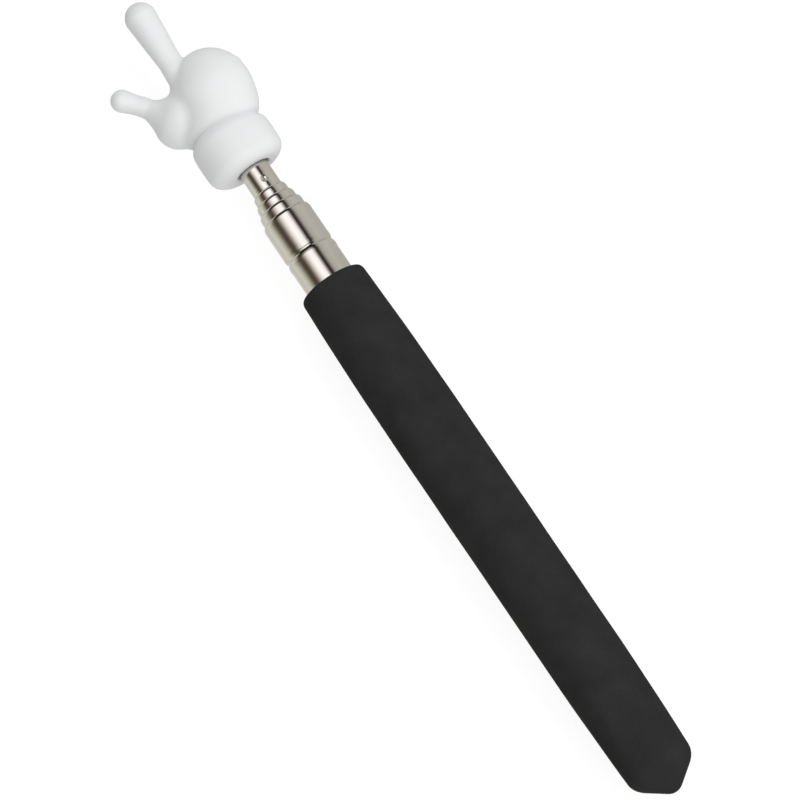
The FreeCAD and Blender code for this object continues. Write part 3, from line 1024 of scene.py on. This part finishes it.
@dataclass
class Hand:
    """The moulded pointing hand: cuff, palm, thumb, pointing finger and three folded fingers."""

    node: str = "hand"
    cell: float = 0.3
    cuff: OvalBand = OvalBand((106.4, 0.5, 0.0), 5.7, 9.35, 8.25, 2.9, 0.4, (0.07, 0.1))
    wrist: Egg = Egg((114.3, 0.6, -0.4), (4.6, 8.8, 6.5))
    dome: Egg = Egg((120.4, -2.5, 0.3), (10.2, 8.9, 7.6), -6.0)
    heel: Egg = Egg((119.5, 5.9, -1.2), (6.3, 7.7, 6.1), 8.0)
    knuckle_front: Egg = Egg((125.2, -3.9, 0.0), (4.1, 6.0, 5.4), -33.0)
    web: RoundCone = RoundCone((122.0, 5.0, -0.6), 2.7, (121.8, 9.6, -0.9), 2.5)
    finger_root: RoundCone = RoundCone((117.5, 3.0, 0.0), 3.7, (129.6, 2.0, 0.8), 2.6)
    finger: RoundCone = RoundCone((129.2, 2.0, 0.8), 2.56, (143.65, 1.85, 1.2), 3.65)
    thumb_root: RoundCone = RoundCone((119.0, 6.5, -1.2), 3.8, (124.0, 10.5, -0.9), 2.6)
    thumb_middle: RoundCone = RoundCone((124.0, 10.5, -0.9), 2.6, (127.1, 12.5, -0.7), 2.1)
    thumb_tip: RoundCone = RoundCone((127.1, 12.5, -0.7), 2.1, (130.8, 15.6, -0.2), 2.6)
    hollow_radius: float = 4.0
    hollow_floor: float = 105.5
    socket_radius: float = 2.95
    socket_end: float = 116.1
    knuckles: tuple[Place, ...] = ((-2.6, 127.1, 2.2), (-6.1, 125.8, 2.2), (-9.15, 124.1, 2.05))
    knuckle_back: float = 1.0
    knuckle_height: float = 1.6
    fold_bottom: float = -8.3
    under_length: float = 7.0
    under_lean: float = 0.9
    under_rise: float = 0.2
    under_taper: float = 0.4
    knuckle_blend: float = 2.0
    wrist_blend: float = 4.0
    low_blend: float = 2.0
    thumb_blends: tuple[float, float] = (1.0, 0.8)
    valley_blend: float = 1.1
    finger_blend: float = 1.0
    fold_blend: float = 0.45
    cuff_blend: float = 0.35
    hollow_blend: float = 0.6
    margin: float = 1.0
    crease: float = 70.0

    def folded(self) -> list[RoundCone]:
        """Lay out the folded fingers, from each knuckle (across, ahead, radius) down and back under.

        Returns:
            Two segments for each finger.
        """
        bones = []
        for across, ahead, radius in self.knuckles:
            low = self.fold_bottom + radius
            knuckle = (ahead - self.knuckle_back, across, self.knuckle_height)
            bend = (ahead, across, low)
            under = (ahead - self.under_length, across + self.under_lean, low + self.under_rise)
            bones.append(RoundCone(knuckle, radius, bend, radius))
            bones.append(RoundCone(bend, radius, under, radius - self.under_taper))
        return bones

    def shape(self, points: np.ndarray) -> np.ndarray:
        """Measure the signed distance to the hand's skin.

        Args:
            points: Places in the CAD frame, in millimetres.

        Returns:
            The distance of each point, negative inside.
        """
        palm = self.dome.distance(points)
        palm = join_smooth(palm, self.knuckle_front.distance(points), self.knuckle_blend)
        palm = join_smooth(palm, self.wrist.distance(points), self.wrist_blend)
        thumb = self.thumb_root.distance(points)
        for bone, blend in zip((self.thumb_middle, self.thumb_tip), self.thumb_blends):
            thumb = join_smooth(thumb, bone.distance(points), blend)
        low = self.heel.distance(points)
        for part in (self.web.distance(points), self.finger_root.distance(points), thumb):
            low = join_smooth(low, part, self.low_blend)
        solid = join_smooth(low, palm, self.valley_blend)
        solid = join_smooth(solid, self.finger.distance(points), self.finger_blend)
        for bone in self.folded():
            solid = join_smooth(solid, bone.distance(points), self.fold_blend)
        solid = join_smooth(solid, self.cuff.distance(points), self.cuff_blend)
        return self.bored(points, solid)

    def bored(self, points: np.ndarray, solid: np.ndarray) -> np.ndarray:
        """Cut the cuff's hollow and the socket for the stem out of a solid.

        Args:
            points: Places in the CAD frame, in millimetres.
            solid: The distance of each point to the solid's skin.

        Returns:
            The distance of each point to the skin of what is left.
        """
        radial = np.hypot(points[..., 1], points[..., 2])
        hollow = np.maximum(radial - self.hollow_radius, points[..., 0] - self.hollow_floor)
        socket = np.maximum(radial - self.socket_radius, points[..., 0] - self.socket_end)
        return np.maximum(cut_smooth(solid, hollow, self.hollow_blend), -socket)

    def build(self) -> bpy.types.Object:
        """Mesh the hand's skin.

        Returns:
            The hand.
        """
        low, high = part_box(self.node)
        low_corner = np.array(low) / MM - self.margin
        high_corner = np.array(high) / MM + self.margin
        points, faces = skin_of(self.shape, low_corner, high_corner, self.cell)
        return make_mesh("moulded_hand", points, faces, crease=self.crease)

    def dress(self) -> None:
        """Build the hand and dress it in white plastic."""
        show_as(self.build(), self.node, "section_4", WHITE.material())


@dataclass
class InnerWorks:
    """The pieces that stay as CAD made them: plug, feet, friction leaves and stem."""

    sections: int = 4

    def dress(self, nodes: dict[str, bpy.types.Object]) -> None:
        """Give each inner piece its finish.

        Args:
            nodes: The CAD nodes by name.
        """
        brass, bronze = BRASS.material(), BRONZE.material()
        finishes = {"end_plug": BLACK.material(), "hand_stem": STEEL.material()}
        for number in range(1, self.sections + 1):
            finishes[f"foot_{number}"] = brass
            finishes[f"friction_leaf_{number}a"] = bronze
            finishes[f"friction_leaf_{number}b"] = bronze
        for name, material in finishes.items():
            for place in nodes[name].material_slots:
                place.material = material
            LOG.info("%s keeps its CAD mesh, in %s", name, material.name)


# Studio


@dataclass(frozen=True)
class Lamp:
    """A soft square lamp: where it hangs, in metres, its side, in metres, and its power, in watts."""

    name: str
    place: Place
    size: float
    power: float


@dataclass
class Studio:
    """Floor, light and camera."""

    look_at: Place = (38.5, 1.9, 0.0)
    lean: float = 15.0
    roll: float = 34.2
    lens: float = 1200.0
    sensor: float = 36.0
    frame_width: float = 176.0
    clip: tuple[float, float] = (0.01, 40.0)
    floor_size: float = 6.0
    floor_grey: float = 0.25
    floor_glow: float = 0.85
    soft_light: float = 0.595
    soft_colour: Colour = (0.95, 0.95, 0.94)
    lamps: tuple[Lamp, ...] = (
        Lamp("key_lamp", (0.2, -0.75, 0.95), 0.6, 5.7),
        Lamp("fill_lamp", (-0.95, 0.0, 0.5), 0.9, 4.6),
    )
    bands: tuple = (
        (-180.0, (0.52, 0.51, 0.48, 0.2)),
        (-120.0, (0.58, 0.57, 0.53, 0.2)),
        (-75.0, (0.63, 0.62, 0.57, 0.2)),
        (-54.0, (0.56, 0.55, 0.50, 0.2)),
        (-45.0, (0.38, 0.36, 0.32, 0.5)),
        (-37.0, (0.075, 0.065, 0.055, 1.0)),
        (-28.0, (0.03, 0.024, 0.02, 1.0)),
        (-19.0, (0.62, 0.59, 0.57, 1.0)),
        (-12.0, (1.32, 1.28, 1.25, 1.0)),
        (4.0, (1.45, 1.42, 1.40, 1.0)),
        (14.0, (1.25, 1.20, 1.17, 1.0)),
        (23.0, (0.92, 0.87, 0.83, 1.0)),
        (32.0, (0.46, 0.41, 0.37, 1.0)),
        (41.0, (0.16, 0.13, 0.105, 1.0)),
        (49.0, (0.085, 0.065, 0.05, 1.0)),
        (59.0, (0.12, 0.095, 0.07, 0.6)),
        (69.0, (0.30, 0.275, 0.22, 0.2)),
        (80.0, (0.58, 0.56, 0.47, 0.2)),
        (92.0, (0.77, 0.76, 0.67, 0.2)),
        (105.0, (0.84, 0.84, 0.77, 0.2)),
        (120.0, (0.74, 0.73, 0.67, 0.2)),
        (180.0, (0.80, 0.80, 0.76, 0.2)),
    )
    ends: tuple = (
        (0.0, (1.0, 1.0, 1.0, 1.0)),
        (0.54, (1.0, 1.0, 1.0, 1.0)),
        (0.64, (0.04, 0.035, 0.03, 1.0)),
    )

    def camera(self) -> None:
        """Place the camera over the tool, leaning towards its butt, with the hand at upper left."""
        lean = math.radians(self.lean)
        roll = math.radians(self.roll)
        back = Vector((-math.sin(lean), 0.0, math.cos(lean)))
        along = Vector((math.cos(lean), 0.0, math.sin(lean)))
        across = Vector((0.0, -1.0, 0.0))
        right = across * math.cos(roll) - along * math.sin(roll)
        up = across * math.sin(roll) + along * math.cos(roll)
        data = bpy.data.cameras.new("camera")
        data.lens = self.lens
        data.sensor_width = self.sensor
        data.clip_start, data.clip_end = self.clip
        distance = self.frame_width * MM * self.lens / self.sensor
        turn = Matrix((right, up, back)).transposed().to_4x4()
        camera = bpy.data.objects.new("camera", data)
        camera.matrix_world = Matrix.Translation(Vector(self.look_at) * MM + back * distance) @ turn
        bpy.context.scene.collection.objects.link(camera)
        bpy.context.scene.camera = camera

    def floor(self, height: float) -> None:
        """Lay a plain pale floor.

        Args:
            height: The floor's height, in metres.
        """
        half = self.floor_size / 2
        mesh = bpy.data.meshes.new("floor")
        corners = [(-half, -half, height), (half, -half, height), (half, half, height), (-half, half, height)]
        mesh.from_pydata(corners, [], [(0, 1, 2, 3)])
        floor = bpy.data.objects.new("floor", mesh)
        bpy.context.scene.collection.objects.link(floor)
        material = bpy.data.materials.new("floor_paper")
        material.use_nodes = True
        shader = material.node_tree.nodes["Principled BSDF"]
        shader.inputs["Base Color"].default_value = (self.floor_grey, self.floor_grey, self.floor_grey, 1.0)
        shader.inputs["Roughness"].default_value = 0.9
        shader.inputs["Specular IOR Level"].default_value = 0.1
        shader.inputs["Emission Color"].default_value = (1.0, 1.0, 1.0, 1.0)
        shader.inputs["Emission Strength"].default_value = self.floor_glow
        mesh.materials.append(material)
        floor.visible_glossy = False
        floor.visible_diffuse = False
        floor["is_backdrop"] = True

    def world(self) -> None:
        """Light the scene softly from all round, with the long bright and dark bands that chrome mirrors."""
        world = bpy.data.worlds.new("studio")
        bpy.context.scene.world = world
        world.use_nodes = True
        tree = world.node_tree
        link = tree.links.new
        place = add_node(tree, "ShaderNodeTexCoord")
        parts = add_node(tree, "ShaderNodeSeparateXYZ")
        angle = add_node(tree, "ShaderNodeMath", operation="ARCTAN2")
        share = add_node(tree, "ShaderNodeMapRange")
        share.inputs["From Min"].default_value = -math.pi
        share.inputs["From Max"].default_value = math.pi
        bands = self.ramp(tree, self.bands, 360.0, "EASE")
        size = add_node(tree, "ShaderNodeMath", operation="ABSOLUTE")
        reach = add_node(tree, "ShaderNodeMapRange")
        reach.inputs["From Min"].default_value = -1.0
        ends = self.ramp(tree, self.ends, 2.0, "LINEAR")
        shade = add_node(tree, "ShaderNodeMix", data_type="RGBA", blend_type="MULTIPLY")
        paths = add_node(tree, "ShaderNodeLightPath")
        soft = tree.nodes["Background"]
        soft.inputs["Color"].default_value = (*self.soft_colour, 1.0)
        soft.inputs["Strength"].default_value = self.soft_light
        mirrored = add_node(tree, "ShaderNodeBackground")
        choose = add_node(tree, "ShaderNodeMixShader")
        link(place.outputs["Generated"], parts.inputs["Vector"])
        link(parts.outputs["Y"], angle.inputs[0])
        link(parts.outputs["Z"], angle.inputs[1])
        link(angle.outputs["Value"], share.inputs["Value"])
        link(share.outputs["Result"], bands.inputs["Fac"])
        link(parts.outputs["X"], size.inputs[0])
        link(size.outputs["Value"], reach.inputs["Value"])
        link(reach.outputs["Result"], ends.inputs["Fac"])
        link(bands.outputs["Alpha"], shade.inputs["Factor"])
        link(bands.outputs["Color"], shade.inputs["A"])
        link(ends.outputs["Color"], shade.inputs["B"])
        link(shade.outputs["Result"], mirrored.inputs["Color"])
        link(paths.outputs["Is Glossy Ray"], choose.inputs["Fac"])
        link(soft.outputs["Background"], choose.inputs[1])
        link(mirrored.outputs["Background"], choose.inputs[2])
        link(choose.outputs["Shader"], tree.nodes["World Output"].inputs["Surface"])

    @staticmethod
    def ramp(tree: bpy.types.NodeTree, stops: tuple, span: float, kind: str) -> bpy.types.Node:
        """Add a colour ramp.

        Args:
            tree: The node tree to add to.
            stops: Each stop's place, from minus half the span to half the span, and its colour with alpha.
            span: How much the whole ramp covers.
            kind: How the colours blend between stops.

        Returns:
            The ramp node.
        """
        node = add_node(tree, "ShaderNodeValToRGB")
        node.color_ramp.interpolation = kind
        while len(node.color_ramp.elements) < len(stops):
            node.color_ramp.elements.new(0.5)
        for element, (place, colour) in zip(node.color_ramp.elements, stops):
            element.position = place / span + 0.5
            element.color = colour
        return node

    def hang(self, lamp: Lamp) -> None:
        """Hang a lamp so that it faces the tool and isn't mirrored in it.

        Args:
            lamp: The lamp.
        """
        data = bpy.data.lights.new(lamp.name, "AREA")
        data.shape = "SQUARE"
        data.size = lamp.size
        data.energy = lamp.power
        light = bpy.data.objects.new(lamp.name, data)
        light.location = lamp.place
        aim = Vector(self.look_at) * MM - Vector(lamp.place)
        light.rotation_mode = "QUATERNION"
        light.rotation_quaternion = aim.to_track_quat("-Z", "Y")
        light.visible_glossy = False
        bpy.context.scene.collection.objects.link(light)

    def build(self, floor_height: float) -> None:
        """Set up floor, light and camera.

        Args:
            floor_height: The floor's height, in metres.
        """
        self.floor(floor_height)
        self.world()
        for lamp in self.lamps:
            self.hang(lamp)
        self.camera()
        bpy.context.scene.view_settings.view_transform = "Standard"


def main() -> None:
    """Build every sub-assembly around the frame."""
    logging.basicConfig(level=logging.INFO, format="%(message)s")
    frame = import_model()
    cad_low, cad_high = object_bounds()
    TubeSet().build()
    Grip().dress()
    Hand().dress()
    InnerWorks().dress(frame["nodes"])
    low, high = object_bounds()
    Studio().build(min(low.z, cad_low.z) - FLOOR_GAP)


if __name__ == "__main__":
    main()
